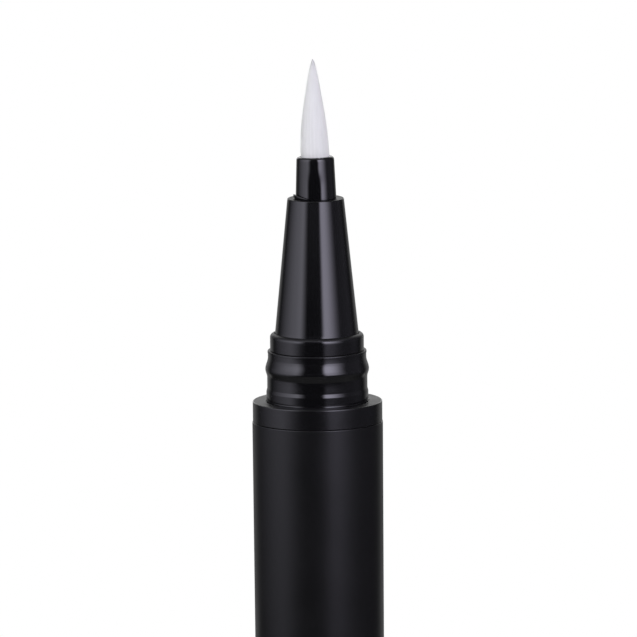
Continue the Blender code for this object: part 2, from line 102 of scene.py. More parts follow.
def colour(name, description, default):
    """Property for an sRGB colour, as a hex value."""
    return StringProperty(name=name, description=description, default=default)


class LASHPEN_PG_shape(bpy.types.PropertyGroup):
    """Sizes of the turned pieces, apart from those that the nodes' boxes give"""

    sides: IntProperty(
        name="Sides", description="Facets around each turned piece", default=192, min=24
    )
    barrel_draft: size("Barrel draft", "Radius lost from the collar to the tail", 0.3)
    barrel_edge: size("Barrel edge", "Rounding of the barrel's upper edge", 0.07)
    tail_edge: size("Tail edge", "Rounding of the tail's lower edge", 0.45)
    tail_head: size("Tail head", "Height of the tail plug's head", 2.0)
    tail_wall: size("Tail wall", "Wall of the tail plug's cup", 0.9)
    tail_floor: size("Tail floor", "End wall of the tail plug", 1.2)
    collar_edge: size("Collar edge", "Rounding of the collar's upper edge", 0.1)
    seat_depth: size("Seat depth", "Depth of the recess in the collar's top", 0.12)
    seat_radius: size("Seat radius", "Radius of that recess, which the neck stands in", 4.36)
    neck_radius: size("Neck radius", "Plain stretch between the bead and the rib", 4.221)
    neck_spigot: size("Neck spigot", "Radius of the neck inside the collar", 3.953)
    neck_upper: size("Upper neck", "Radius of the neck above its rib", 4.143)
    neck_lip: size("Neck lip", "Radius of the thin lip that ends the neck", 4.169)
    lip_height: size("Lip height", "Height of the lip's outer face", 0.2)
    rib_rise: size("Rib rise", "How far the snap rib stands out", 0.146)
    rib_crest: size("Rib crest", "Height of the rib's crest over the collar", 2.72)
    rib_foot: size("Rib foot", "From the rib's crest down to its lower edge", 0.68)
    rib_shoulder: size("Rib shoulder", "From the rib's crest up to its upper edge", 1.02)
    bead_rise: size("Bead rise", "How far the foot bead stands out", 0.074)
    bead_height: size("Bead height", "Height of the foot bead over the collar", 0.83)
    bead_slope: size("Bead slope", "Height over which the bead runs out", 0.29)
    neck_flare: size("Neck flare", "How far the neck widens just over the collar", 0.008)
    ring_edge: size("Ring edge", "Rounding of the ring around the cone's foot", 0.33)
    ring_crown: size("Ring crown", "How far the ring's top rises towards its recess", 0.14)
    ring_recess: size("Ring recess", "Radius of the recess that the cone stands in", 3.573)
    recess_depth: size("Recess depth", "Depth of that recess", 0.65)
    cone_foot: size("Cone foot", "Radius of the cone's foot", 3.533)
    cone_flare: size("Cone flare", "How far the cone's foot widens", 0.02)
    flare_height: size("Flare height", "Height over which it widens", 0.35)
    cone_rim: size("Cone rim", "Radius of the cone's rim", 2.378)
    cone_edge: size("Cone edge", "Rounding of the cone's rim", 0.09)
    cone_lift: size("Cone lift", "How far the cone's rim stands over the plain cone", 0.1)
    cone_dish: size("Cone dish", "How far the cone's top face falls towards its hole", 0.02)
    cone_mouth: size("Cone mouth", "Radius of the hole in the cone's rim", 1.763)
    holder_foot: size("Holder foot", "Radius of the tip holder at the cone's rim", 1.713)
    holder_mouth: size("Holder mouth", "Radius of the tip holder at the brush", 1.579)
    holder_bore: size("Holder bore", "Radius of the bore that the brush stands in", 1.258)
    holder_edge: size("Holder edge", "Rounding of the tip holder's mouth", 0.27)
    holder_flange: size("Holder flange", "Height of the flange inside the cone", 0.8)
    holder_lean: size("Holder lean", "How far the foot sits to the right of the axis", 0.035)
    sink_depth: size("Sink depth", "How far the holder's wall has sunk in front", 0.085)
    mouth_tilt: size("Mouth tilt", "How far the mouth's front right stands over the plain mouth", 0.06)


class LASHPEN_PG_brush(bpy.types.PropertyGroup):
    """The brush's filaments, its outline, and the painted shade that darkens it to its point"""

    filaments: IntProperty(
        name="Filaments", description="Number of filaments in the brush", default=1400, min=300
    )
    filament: size("Filament", "Diameter of a filament at its root", 0.056)
    blunting: amount("Blunting", "How much wider than a sine arch the point is", 0.095)
    gather: amount("Gather", "How closely the filaments follow the outline", 0.93)
    lean: size("Lean", "How far the point sits to the left of the root", 0.135)
    core_inset: size("Core inset", "Depth of the packed filaments below the outline", 0.012)
    flex_length: size("Flex length", "Length over which the bend would be full", 10.4)
    # Painted shade: over this stretch the brush's colour darkens towards its point, to this share
    painted_shade_length: size("Shade length", "Length over which the brush darkens to its point", 1.3)
    painted_point_shade: amount("Point shade", "Share of its colour that the point keeps", 0.66)


class LASHPEN_PG_colours(bpy.types.PropertyGroup):
    """Colours of the materials and of the studio"""

    glossy: colour("Glossy black", "Polished moulded plastic", "#070708")
    satin: colour("Satin black", "Fine satin moulded plastic", "#050506")
    filament: colour("Filament", "Nylon filaments of the brush", "#eeefea")
    natural: colour("Natural", "Uncoloured moulded plastic inside", "#dcdcd6")
    fibre: colour("Fibre", "Bonded fibre of the relay core", "#ded9d0")
    rubber: colour("Rubber", "Moulded rubber seals", "#1c1c1d")
    steel: colour("Steel", "Polished steel ball", "#c8c6c2")
    floor: colour("Floor", "Paper that the pen stands on", "#c9c9cb")
    room: colour("Room", "Dim room beyond the lights", "#303031")
    left_lamp: colour("Left lamp", "Light of the left softbox", "#f1efff")
    right_lamp: colour("Right lamp", "Light of the right softbox", "#ede9ff")


class LASHPEN_PG_studio(bpy.types.PropertyGroup):
    """The camera, the floor and the lights"""

    frame_width: size("Frame width", "Width of the picture at the pen", 53.6)
    distance: size("Distance", "From the camera to the pen", 1000.0)
    elevation: angle("Elevation", "Camera's height over the horizon", 8.8)
    roll: angle("Roll", "Turn of the camera about its own axis", -0.53)
    aim_side: size("Aim to the side", "How far right of the axis the picture's centre is", 0.15)
    aim_height: size("Aim height", "Height of the picture's centre over the collar", 6.96)
    left_strength: amount("Left softbox", "Radiance of the left softbox; 1 is white", 2.4)
    right_strength: amount("Right softbox", "Radiance of the right softbox; 1 is white", 4.9)
    softbox_distance: size("Softbox distance", "From the pen to the softboxes", 200.0)
    fill_strength: amount("Fill", "Irradiance of the broad fill light in front", 0.9)
    back_strength: amount("Back fill", "Irradiance of the broad fill light behind", 2.2)
    floor_radius: size("Floor radius", "Radius of the paper on the floor", 300.0)


def linear(hex_colour):
    """Linear RGBA of an sRGB hex value such as #c9c9cb."""
    values = np.array([int(hex_colour[start : start + 2], 16) for start in (1, 3, 5)]) / 255
    bright = ((values + 0.055) / 1.055) ** 2.4
    return (*np.where(values <= 0.04045, values / 12.92, bright).tolist(), 1.0)


def add_node(tree, kind, inputs=None, **settings):
    """Node with its settings. An input is a value, or the output socket that it is linked to."""
    node = tree.nodes.new(kind)
    for name, value in settings.items():
        setattr(node, name, value)
    for key, value in (inputs or {}).items():
        if isinstance(value, bpy.types.NodeSocket):
            tree.links.new(value, node.inputs[key])
        else:
            node.inputs[key].default_value = value
    return node


def new_material(name):
    """Empty material, and its node tree."""
    material = bpy.data.materials.new(name)
    material.use_nodes = True
    material.node_tree.nodes.clear()
    return material, material.node_tree


def finish_shader(tree, shader):
    """Give the material its output, with this shader."""
    add_node(tree, "ShaderNodeOutputMaterial", {"Surface": shader.outputs[0]})


def moulded_abs(name, hex_colour, relief, depth, patches, dullness, gloss=0.5):
    """ABS with a relief that bends or spreads its reflections, and patches of unlike gloss.

    Relief and patches are each the period in metres, the detail and the roughness of a noise.
    Depth is the relief's in metres, dullness is the range of the surface's roughness, and gloss
    is how much of the plastic's own reflection is left.
    """
    material, tree = new_material(name)
    place = add_node(tree, "ShaderNodeTexCoord").outputs["Object"]
    height, haze = (
        add_node(
            tree,
            "ShaderNodeTexNoise",
            {"Vector": place, "Scale": 1 / period, "Detail": detail, "Roughness": coarseness},
        ).outputs[0]
        for period, detail, coarseness in (relief, patches)
    )
    low, high = dullness
    roughness = add_node(
        tree,
        "ShaderNodeMapRange",
        {"Value": haze, "From Min": 0.3, "From Max": 0.7, "To Min": low, "To Max": high},
    )
    bump = add_node(tree, "ShaderNodeBump", {"Height": height, "Distance": depth, "Strength": 1.0})
    shader = add_node(
        tree,
        "ShaderNodeBsdfPrincipled",
        {
            "Base Color": linear(hex_colour),
            "IOR": 1.5,
            "Specular IOR Level": gloss,
            "Roughness": roughness.outputs[0],
            "Normal": bump.outputs[0],
        },
    )
    finish_shader(tree, shader)
    return material


def polished_abs(name, waviness):
    """ABS moulded in a polished tool: deep black with sharp reflections.

    The wall shrinks unevenly as it cools, which bends the reflections over a few millimetres.
    Waviness is the depth of that in metres. Handling leaves patches of slightly duller gloss.
    """
    colours = bpy.context.scene.lash_pen_colours
    sinks, haze = (2.6 * MM, 1.0, 0.4), (3.5 * MM, 4.0, 0.6)
    return moulded_abs(name, colours.glossy, sinks, waviness, haze, (0.08, 0.13))


def satin_abs(name, low, high, depth, gloss=0.4):
    """ABS moulded in a spark-eroded tool: a fine even grain that spreads reflections softly.

    The real grain is about 0.03 mm. It is drawn at 0.09 mm, near one pixel, so that it shows.
    Low and high bound the roughness, which rubbing leaves uneven in broad patches.
    """
    colours = bpy.context.scene.lash_pen_colours
    grain, rub = (0.09 * MM, 2.0, 0.6), (5.0 * MM, 5.0, 0.6)
    return moulded_abs(name, colours.satin, grain, depth, rub, (low, high), gloss)


def matte_abs(name):
    """ABS moulded in a blasted tool, as the end faces are: coarse and dull."""
    return satin_abs(name, low=0.42, high=0.5, depth=0.0025 * MM)


def nylon_filament(name):
    """Tapered nylon filaments, extruded and bleached: milky white, and light passes through them.

    The attribute tone is the share of the colour: each filament has its own, which gives the
    faint streaks, and it falls towards the point as painted shade.
    """
    material, tree = new_material(name)
    base = linear(bpy.context.scene.lash_pen_colours.filament)
    tone = add_node(tree, "ShaderNodeAttribute", attribute_name="tone")
    shade = add_node(
        tree,
        "ShaderNodeMix",
        {"Factor": tone.outputs["Fac"], "A": (0.0, 0.0, 0.0, 1.0), "B": base},
        data_type="RGBA",
    ).outputs["Result"]
    milky = add_node(
        tree, "ShaderNodeBsdfPrincipled", {"Base Color": shade, "IOR": 1.53, "Roughness": 0.6}
    )
    through = add_node(tree, "ShaderNodeBsdfTranslucent", {"Color": shade})
    shader = add_node(
        tree, "ShaderNodeMixShader", {0: 0.45, 1: milky.outputs[0], 2: through.outputs[0]}
    )
    finish_shader(tree, shader)
    return material


def plain_moulding(name, hex_colour, roughness, period, depth, metallic=0.0):
    """Inner pieces: one colour with a little mottling, and a skin as fine as the process leaves.

    Period is the mottling's, and depth is how deep it goes into the skin, both in metres. At
    its darkest it keeps 0.85 of the colour.
    """
    material, tree = new_material(name)
    place = add_node(tree, "ShaderNodeTexCoord").outputs["Object"]
    base = linear(hex_colour)
    darkest = (*(0.85 * value for value in base[:3]), 1.0)
    mottle = add_node(
        tree,
        "ShaderNodeTexNoise",
        {"Vector": place, "Scale": 1 / period, "Detail": 4.0, "Roughness": 0.6},
    ).outputs[0]
    tint = add_node(
        tree, "ShaderNodeMix", {"Factor": mottle, "A": darkest, "B": base}, data_type="RGBA"
    )
    bump = add_node(tree, "ShaderNodeBump", {"Height": mottle, "Distance": depth, "Strength": 1.0})
    shader = add_node(
        tree,
        "ShaderNodeBsdfPrincipled",
        {
            "Base Color": tint.outputs["Result"],
            "Metallic": metallic,
            "Roughness": roughness,
            "Normal": bump.outputs[0],
        },
    )
    finish_shader(tree, shader)
    return material


def fillet(before, corner, after, radius, steps=6):
    """Points of the arc that rounds a corner, with a support point just beyond each end.

    The arc is tangent to both sides: its centre is on their bisector, at radius over the sine
    of the half angle, and the arc sweeps the supplement of the corner's angle. A support point
    is 0.3 of the radius past the arc's end, but never past 0.99 of the side that it is on.
    """
    arms = np.array([before, after]) - corner
    lengths = np.linalg.norm(arms, axis=1)
    to_before, to_after = arms / lengths[:, None]
    half = math.acos(np.clip(to_before @ to_after, -1, 1)) / 2
    bisector = (to_before + to_after) / np.linalg.norm(to_before + to_after)
    centre = corner + bisector * radius / math.sin(half)
    reach = radius / math.tan(half)
    start = corner + to_before * reach - centre
    side = math.copysign(1.0, to_before[0] * to_after[1] - to_before[1] * to_after[0])
    swept = -side * (math.pi - 2 * half) * np.linspace(0, 1, steps + 1)
    cosine, sine = np.cos(swept), np.sin(swept)
    arc = np.column_stack((start[0] * cosine - start[1] * sine, start[0] * sine + start[1] * cosine))
    first, last = np.minimum(reach + 0.3 * radius, 0.99 * lengths)
    return np.vstack((corner + to_before * first, centre + arc, corner + to_after * last))


def outline_of(corners, closed=True, step=0.8 * MM):
    """Outline through the corners (radius, height), or (radius, height, rounding).

    Long straight sides are divided, so that shading and bumps stay even along them.
    """
    places = np.array([corner[:2] for corner in corners])
    runs = []
    for index, corner in enumerate(corners):
        if len(corner) == 3:
            after = places[(index + 1) % len(places)]
            runs.append(fillet(places[index - 1], places[index], after, corner[2]))
        else:
            runs.append(places[index][None])
    points = np.vstack(runs)
    ends = np.vstack((points, points[:1])) if closed else points
    lengths = np.linalg.norm(np.diff(ends, axis=0), axis=1)
    parts = np.maximum(1, np.ceil(lengths / step).astype(int))
    divided = [
        ends[index] + (ends[index + 1] - ends[index]) * np.arange(count)[:, None] / count
        for index, count in enumerate(parts)
    ]
    divided = np.vstack(divided)
    return divided if closed else np.vstack((divided, ends[-1:]))


def new_piece(name, vertices, faces, material):
    """Mesh object in the scene, shaded smooth, with its place in its mesh."""
    mesh = bpy.data.meshes.new(name)
    mesh.from_pydata(vertices.reshape(-1, 3).tolist(), [], faces)
    mesh.validate()
    mesh.shade_smooth()
    mesh.set_sharp_from_angle(angle=math.radians(SHARP))
    mesh.materials.append(material)
    piece = bpy.data.objects.new(name, mesh)
    bpy.context.scene.collection.objects.link(piece)
    return piece


def grid_of(x, y, z):
    """Grid of places, from coordinates that spread over one another's rows and columns."""
    return np.stack(np.broadcast_arrays(x, y, z), axis=-1)


def numbered(grid):
    """Numbers of the vertices that a grid of places makes."""
    return np.arange(grid[..., 0].size).reshape(grid.shape[:-1])


def quads_between(first, second, start=0):
    """Quads from each row of vertex numbers to the next. A row closes on itself.

    Where the rows run anticlockwise, seen from above, and the second of two is the lower one,
    the quads between them face outwards. A quad is split from the corner that it starts at: one
    of the first row, or of the second where start is 1.
    """
    corners = (first, second, np.roll(second, -1, axis=-1), np.roll(first, -1, axis=-1))
    return np.roll(np.stack(corners, axis=-1), -start, axis=-1).reshape(-1, 4).tolist()


def turned(name, outline, material):
    """Surface of revolution: the outline's point (r, z) at the turn a is (r cos a, r sin a, z).

    The outline runs down the outer side. It is a closed loop, or it runs from the axis to the
    axis, and then each end is one pole with a fan of triangles.
    """
    sides = bpy.context.scene.lash_pen_shape.sides
    poled = outline[0, 0] == 0.0
    ring = outline[1:-1] if poled else outline
    radius, height = ring[:, :1], ring[:, 1:]
    turn = np.arange(sides) * (2 * math.pi / sides)
    grid = grid_of(radius * np.cos(turn), radius * np.sin(turn), height)
    number = numbered(grid)
    upper = number[:-1] if poled else number
    lower = number[1:] if poled else np.roll(number, -1, axis=0)
    vertices, faces = grid.reshape(-1, 3), quads_between(upper, lower)
    if poled:
        poles = [[0.0, 0.0, outline[0, 1]], [0.0, 0.0, outline[-1, 1]]]
        first, last = number[0], number[-1]
        top = np.full(sides, len(vertices))
        vertices = np.vstack((vertices, poles))
        faces += np.stack((top, first, np.roll(first, -1)), axis=-1).tolist()
        faces += np.stack((top + 1, np.roll(last, -1), last), axis=-1).tolist()
    return new_piece(name, vertices, faces, material)


def dull_above(piece, level, material):
    """Give the piece's faces above a level a second material."""
    piece.data.materials.append(material)
    heights = np.array([polygon.center.z for polygon in piece.data.polygons])
    piece.data.polygons.foreach_set("material_index", (heights > level).astype(np.int32))


def stand_for(piece, node):
    """The piece replaces the node, which it hides, and rides on the pen's body."""
    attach(piece, "pen")
    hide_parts(node)


def levels(node):
    """Lowest height, highest height and largest radius of a node."""
    low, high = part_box(node)
    return low.z, high.z, high.x


def seal_seat(node):
    """Radius of the bore around a seal ring, with half of the slip that it has there."""
    return levels(node)[2] + SLIP / 2


def groove(radius, seal):
    """Corners of the groove around a seal ring, down a spigot of this radius.

    It is as deep as the ring is high, and a seam more.
    """
    foot, top, _ = levels(seal)
    inner = radius - (top - foot + SEAM)
    high, low = top + SEAM, foot - SEAM
    return [(radius, high), (inner, high), (inner, low), (radius, low)]


class LASHPEN_OT_barrel(bpy.types.Operator):
    """Build the barrel, the plug that ends it and the collar ring on top of it"""

    bl_idname = "lash_pen.barrel"
    bl_label = "Barrel, tail and collar"

    def execute(self, context):
        shape = context.scene.lash_pen_shape
        satin = satin_abs("satin_moulded_abs", low=0.31, high=0.37, depth=0.0006 * MM)
        collar_side = satin_abs(
            "collar_moulded_abs", low=0.22, high=0.27, depth=0.0004 * MM, gloss=0.49
        )
        collar_top = matte_abs("matte_moulded_abs_collar")
        mouth, tank = seal_seat("neck_seal"), seal_seat("tail_seal")
        spigot_end = levels("neck_sleeve")[0]

        foot, top, radius = levels("barrel")
        tail = radius - shape.barrel_draft
        corners = [
            (radius, top, shape.barrel_edge),
            (tail, foot, shape.barrel_edge / 2),
            (tank, foot, EDGE),
            (tank, spigot_end - SEAM),
            (mouth, spigot_end - SEAM),
            (mouth, top, EDGE),
        ]
        stand_for(turned("barrel_tube", outline_of(corners), satin), "barrel")

        foot, stem_top, radius = levels("tail_plug")
        stem = tank - SLIP
        cup = stem - shape.tail_wall
        corners = [
            (0.0, shape.tail_floor),
            (cup, shape.tail_floor, 4 * EDGE),
            (cup, stem_top),
            (stem, stem_top, EDGE),
            *groove(stem, "tail_seal"),
            (stem, shape.tail_head),
            (radius, shape.tail_head, shape.barrel_edge / 2),
            (radius, foot, shape.tail_edge),
            (0.0, foot),
        ]
        tail_plug = turned("tail_end", outline_of(corners, closed=False), satin)
        stand_for(tail_plug, "tail_plug")

        foot = top + HAIRLINE
        _, top, radius = levels("collar_ring")
        corners = [
            (radius, top, shape.collar_edge),
            (radius, foot, shape.collar_edge / 2),
            (mouth, foot),
            (mouth, top - shape.seat_depth),
            (shape.seat_radius, top - shape.seat_depth),
            (shape.seat_radius, top, EDGE / 2),
        ]
        collar = turned("collar", outline_of(corners, step=0.25 * MM), collar_side)
        dull_above(collar, top - EDGE / 10, collar_top)
        stand_for(collar, "collar_ring")
        return {"FINISHED"}


class LASHPEN_OT_neck(bpy.types.Operator):
    """Build the neck, with its lip, its snap rib and its foot bead, and the ring above it"""

    bl_idname = "lash_pen.neck"
    bl_label = "Neck and ring"

    def execute(self, context):
        shape = context.scene.lash_pen_shape
        glossy = polished_abs("polished_moulded_abs_neck", waviness=0.004 * MM)
        matte = matte_abs("matte_moulded_abs_ring")
        end, top, _ = levels("neck_sleeve")
        shoulder = levels("collar_ring")[1]
        seat = shoulder - shape.seat_depth + SEAM
        crest = shoulder + shape.rib_crest
        bead_top = shoulder + shape.bead_height
        bore = levels("tank_stopper")[2] + SLIP

        # The rib rises to its crest by half a cosine wave from either edge, in 13 steps.
        share = np.linspace(0, 1, 14)[:, None]
        wave = (1 + np.cos(math.pi * share)) / 2
        rise = shape.neck_radius + shape.rib_rise - shape.neck_upper
        above = np.hstack(
            (shape.neck_upper + rise * wave[::-1], crest + shape.rib_shoulder * (1 - share))
        )
        below = np.hstack((shape.neck_radius + shape.rib_rise * wave, crest - shape.rib_foot * share))
        bead = shape.neck_radius + shape.bead_rise
        flare = bead + shape.neck_flare
        corners = [
            (shape.neck_lip, top, 1.5 * EDGE),
            (shape.neck_lip, top - shape.lip_height, EDGE / 4),
            (shape.neck_upper, top - shape.lip_height),
            *map(tuple, above),
            *map(tuple, below[1:]),
            (shape.neck_radius, bead_top + shape.bead_slope, 2 * EDGE),
            (bead, bead_top, 2 * EDGE),
            (bead, shoulder + 2 * EDGE, EDGE / 2),
            (flare, shoulder + EDGE / 2, EDGE / 4),
            (flare, seat),
            (shape.neck_spigot, seat),
            *groove(shape.neck_spigot, "neck_seal"),
            (shape.neck_spigot, end, EDGE),
            (bore, end),
            (bore, top),
        ]
        neck = turned("neck", outline_of(corners), glossy)
        dull_above(neck, top - EDGE, matte)
        stand_for(neck, "neck_sleeve")

        end, top, radius = levels("collector_holder")
        ring_foot = levels("neck_sleeve")[1] + HAIRLINE
        sleeve = levels("tank_stopper")[2]
        bore = levels("collector_seal")[2] + SLIP
        corners = [
            (radius, top, shape.ring_edge),
            (radius, ring_foot, EDGE / 2),
            (sleeve, ring_foot),
            (sleeve, end, EDGE),
            (bore, end),
            (bore, top - shape.recess_depth),
            (shape.ring_recess, top - shape.recess_depth),
            (shape.ring_recess, top + shape.ring_crown, EDGE / 2),
        ]
        ring = turned("cone_ring", outline_of(corners), glossy)
        dull_above(ring, top - 1.5 * EDGE, matte)
        stand_for(ring, "collector_holder")
        return {"FINISHED"}


class LASHPEN_OT_cone(bpy.types.Operator):
    """Build the front cone, the tip holder in it, and the scrap of flash between them"""

    bl_idname = "lash_pen.cone"
    bl_label = "Cone and tip holder"

    def execute(self, context):
        shape = context.scene.lash_pen_shape
        glossy = polished_abs("polished_moulded_abs_cone", waviness=0.003 * MM)
        wavy = polished_abs("polished_moulded_abs_holder", waviness=0.012 * MM)
        matte = matte_abs("matte_moulded_abs_rims")

        end, cone_top, _ = levels("front_cone")
        cone_top += shape.cone_lift
        ring_top = levels("collector_holder")[1]
        foot = ring_top - shape.recess_depth + SEAM
        spigot = levels("collector_seal")[2]
        bore = levels("brush_clamp")[2] + SLIP
        holder_foot, mouth, flange = levels("tip_holder")
        flange_top = holder_foot + shape.holder_flange
        # The foot flares by a parabola: the flare times the square of one less the share.
        share = np.linspace(1, 0, 6)[:, None]
        slope = (shape.cone_rim - shape.cone_foot) / (cone_top - ring_top)
        rise = shape.flare_height * share
        flared = shape.cone_foot + slope * rise + shape.cone_flare * (1 - share) ** 2
        flare = np.hstack((flared, ring_top + rise))
        corners = [
            (shape.cone_rim, cone_top, shape.cone_edge),
            *map(tuple, flare),
            (flare[-1, 0], foot),
            (spigot, foot),
            (spigot, end, EDGE),
            (bore, end),
            (bore, flange_top + SEAM),
            (shape.cone_mouth, flange_top + SEAM),
            (shape.cone_mouth, cone_top - shape.cone_dish, EDGE),
        ]
        cone = turned("cone", outline_of(corners), glossy)
        dull_above(cone, cone_top - shape.cone_dish, matte)
        stand_for(cone, "front_cone")

        corners = [
            (shape.holder_mouth, mouth, shape.holder_edge),
            (shape.holder_foot, cone_top),
            (shape.holder_foot, flange_top),
            (flange, flange_top, EDGE / 2),
            (flange, holder_foot, EDGE / 2),
            (shape.holder_bore, holder_foot),
            (shape.holder_bore, mouth - EDGE),
        ]
        holder = turned("brush_holder", outline_of(corners, step=0.3 * MM), wavy)
        settle_holder(holder, cone_top, mouth, shape)
        stand_for(holder, "tip_holder")

        flash = mould_flash(shape, cone_top, glossy)
        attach(flash, "pen")
        return {"FINISHED"}


def settle_holder(holder, foot, mouth, shape):
    """Press the holder's foot a little to the right, tilt its mouth, and let its wall sink in front.

    The shift falls evenly to nothing at the mouth. The sink is a Gaussian around the turn,
    times a smooth step down the holder. The tilt lifts the front right and lowers the back
    left, and it runs out downwards by a parabola. Drop is the share of the way down.
    """
    sink_start, sink_run, sink_width = 0.28, 0.4, math.radians(20)
    tilt_run = 0.2
    count = len(holder.data.vertices)
    places = np.empty(count * 3)
    holder.data.vertices.foreach_get("co", places)
    x, y, z = places.reshape(count, 3).T
    drop = np.clip((mouth - z) / (mouth - foot), 0, 1)
    outer = np.hypot(x, y) > shape.holder_mouth - EDGE
    turn = np.arctan2(x, -y)
    step = np.clip((drop - sink_start) / sink_run, 0, 1)
    smooth = step**2 * (3 - 2 * step)
    depth = shape.sink_depth * outer * smooth * np.exp(-((turn / sink_width) ** 2))
    x += shape.holder_lean * drop - depth * np.sin(turn)
    y += depth * np.cos(turn)
    near_mouth = np.clip(1 - drop / tilt_run, 0, 1) ** 2
    front_right = (x - y) / (math.sqrt(2) * shape.holder_mouth)
    z += shape.mouth_tilt * near_mouth * front_right
    holder.data.vertices.foreach_set("co", places)
    holder.data.update()


def mould_flash(shape, cone_top, material):
    """Thin fin of flash that stands in the crevice around the holder's foot, on the left.

    Its section is a rounded wedge, which leans outwards as it rises. At the share s of its
    sweep it has 0.02 + 0.98 sin(pi s^0.4)^0.7 of its full height and thickness, so that it is
    highest near its back end.
    """
    height, thickness, lean = 0.42 * MM, 0.2 * MM, 0.2
    back_end, sweep = math.radians(176), math.radians(88)
    rows, columns = 61, 12
    along = np.linspace(0, 1, rows)[:, None] ** 1.5  # closer rows at the high end
    section = np.linspace(0, 2 * math.pi, columns, endpoint=False)
    turn = back_end + sweep * along
    arch = 0.02 + 0.98 * np.sin(math.pi * along**0.4) ** 0.7
    rise = height * arch * (np.sin(section) + 1) / 2
    across = np.sign(np.cos(section)) * np.abs(np.cos(section)) ** 0.5
    out = shape.cone_mouth - SLIP / 2 + thickness * arch * across / 2 + lean * rise
    grid = grid_of(out * np.cos(turn), out * np.sin(turn), cone_top - SEAM / 2 + rise)
    number = numbered(grid)
    faces = quads_between(number[:-1], number[1:])
    faces += [number[0].tolist(), number[-1, ::-1].tolist()]
    return new_piece("mould_flash", grid, faces, material)


def brush_outline(left, blunting):
    """Share of the root's radius where this share of the brush's length is left to its point.

    It is a sine arch from the point down to the root, of the power 1.07, plus blunting times
    t exp(1 - t), which is full where an eighth of the length is left: t is eight times the
    share left.
    """
    blunt = 8 * left
    return np.minimum(np.sin(math.pi / 2 * left) ** 1.07 + blunting * blunt * np.exp(1 - blunt), 1)


def brush_lean(height, length, lean):
    """Sideways place of the brush's centre line: the lean times the root of a quarter sine wave.

    It leaves the axis quickly at the root, and then runs nearly upright.
    """
    return -lean * np.sin(math.pi / 2 * np.clip(height / length, 0, 1)) ** 0.5


def tone_with_painted_shade(streaks, height, length, brush):
    """Share of the colour: 0.96 to 1 by the streaks, less a parabola of painted shade to the point."""
    share = np.clip((length - height) / brush.painted_shade_length, 0, 1)
    return (0.96 + 0.04 * streaks) * (1 - (1 - brush.painted_point_shade) * (1 - share) ** 2)


def set_tone(piece, tone):
    """Keep a tone for each vertex in the piece's attribute."""
    attribute = piece.data.attributes.new("tone", "FLOAT", "POINT")
    attribute.data.foreach_set("value", tone.astype(np.float32).ravel())


class LASHPEN_OT_brush(bpy.types.Operator):
    """Build the brush: its filaments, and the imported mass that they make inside"""

    bl_idname = "lash_pen.brush"
    bl_label = "Brush"

    def execute(self, context):
        brush = context.scene.lash_pen_brush
        nylon = nylon_filament("white_nylon_filament")
        mouth = levels("tip_holder")[1]
        root, point, radius = levels("brush_tip")
        length = point - mouth
        pieces = [
            filaments(brush, mouth, root, length, radius, nylon),
            packed_core(brush, mouth, root, length, radius, nylon),
        ]
        for piece in pieces:
            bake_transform(piece)
        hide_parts("brush_tip")
        return {"FINISHED"}


def filaments(brush, mouth, root, length, radius, material):
    """The brush's filaments, as tapered four-sided tubes.

    Their roots lie on a sunflower spiral: filament i is at the radius R sqrt((i + 0.5) / n),
    each a golden angle on from the last. A filament keeps its share of the radius, drawn in
    with the outline, and ends where it meets the outline, or a little short of that. Its own
    radius falls as the root of one less the cube of the share of its length. The streaks are
    part chance and part locks, which are two sine waves around the brush.
    """
    count, rings, sides = brush.filaments, 16, 4
    shortfall, end_radius = 0.025, 0.02  # shares of a filament's length and of its radius
    number = np.arange(count)[:, None]
    golden = math.pi * (3 - math.sqrt(5))
    share = np.sqrt((number + 0.5) / count)
    foot_radius = (radius - brush.filament / 2) * share
    turn = number * golden
    chance = np.random.default_rng(seed=7)
    kept_at_end = (1 - brush.gather) * share / (1 - brush.gather * share)
    tried = np.linspace(0, 1, 400)  # the outline is solved from a table of its values
    left = np.interp(kept_at_end, brush_outline(tried, brush.blunting), tried)
    reach = length * (1 - left) * (1 - shortfall * chance.random((count, 1)) ** 2)
    along = np.linspace(0, 1, rings) ** 0.8  # closer rings towards the point
    foot = root - mouth
    height = foot + (reach - foot) * along
    outline = brush_outline(np.clip(1 - height / length, 0, 1), brush.blunting)
    gathered = 1 - brush.gather * (1 - outline)
    taper = gathered * np.sqrt(np.clip(1 - along**3, end_radius**2, 1)) * brush.filament / 2
    x = foot_radius * gathered * np.cos(turn) + brush_lean(height, length, brush.lean)
    y = foot_radius * gathered * np.sin(turn)
    corner = np.arange(sides) * (2 * math.pi / sides)
    grid = grid_of(
        x[..., None] + taper[..., None] * np.cos(corner),
        y[..., None] + taper[..., None] * np.sin(corner),
        mouth + height[..., None],
    )
    index = numbered(grid)
    faces = quads_between(index[:, 1:], index[:, :-1], start=1)
    faces += index[:, 0, ::-1].tolist() + index[:, -1].tolist()
    piece = new_piece("brush_filaments", grid, faces, material)
    lock = 0.5 + 0.25 * np.sin(11 * turn + 0.6) + 0.25 * np.sin(18 * turn)
    streaks = 0.4 * chance.random((count, 1)) + 0.6 * lock
    # Streaks, and painted shade that darkens the filaments towards the point
    tone = tone_with_painted_shade(streaks, height, length, brush)
    set_tone(piece, np.repeat(tone, sides, axis=1))
    return piece


